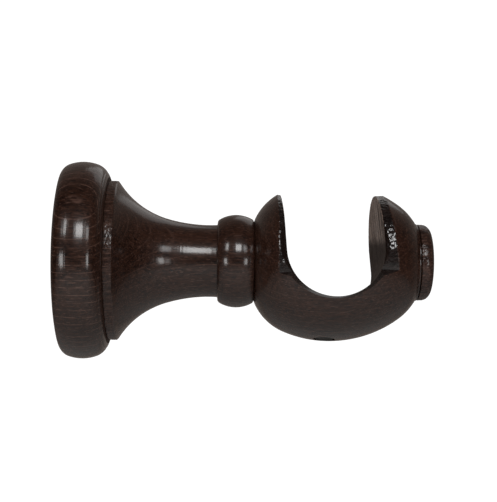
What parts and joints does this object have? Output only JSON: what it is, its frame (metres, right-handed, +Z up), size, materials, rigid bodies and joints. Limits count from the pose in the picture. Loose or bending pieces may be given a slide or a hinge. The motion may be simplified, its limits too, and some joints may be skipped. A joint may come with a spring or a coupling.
{
  "type": "curtain pole bracket",
  "caption": "Turned dark wooden curtain-pole bracket with a round base, coved stem, beaded collar and a ball cut by an open U-shaped pole cup.",
  "frame": {"origin": "centre of the base's back face, on the turning axis", "axes": "+X from the wall to the nose along the turning axis, +Z up with the cup opening upward, Y along the pole"},
  "size_m": [0.1203, 0.0642, 0.0644],
  "materials": {
    "stained_wood": "semi-gloss",
    "zinc_steel": "satin",
    "dark_screw": "satin"
  },
  "bodies": {
    "base": {"wall_base": "stained_wood", "tee_nut": "zinc_steel"},
    "stud": {"hanger_bolt": "zinc_steel"},
    "arm": {"arm": "stained_wood"},
    "pole_lock": {"lock_screw": "dark_screw"}
  },
  "joints": [
    {"name": "stud_travel", "type": "slide", "parent": "base", "child": "stud", "axis": [1, 0, 0], "range_m": [0, 0.0081]},
    {"name": "arm_spin", "type": "hinge", "parent": "stud", "child": "arm", "pos_m": [0.03, 0, 0], "axis": [1, 0, 0], "range_deg": [0, 2880]},
    {"name": "lock_screw_travel", "type": "slide", "parent": "arm", "child": "pole_lock", "axis": [0, 0, 1], "range_m": [-0.012, 0.004]}
  ],
  "couplings": [
    {"joint": "stud_travel", "follows": "arm_spin", "m_per_rad": 0.00015915}
  ]
}
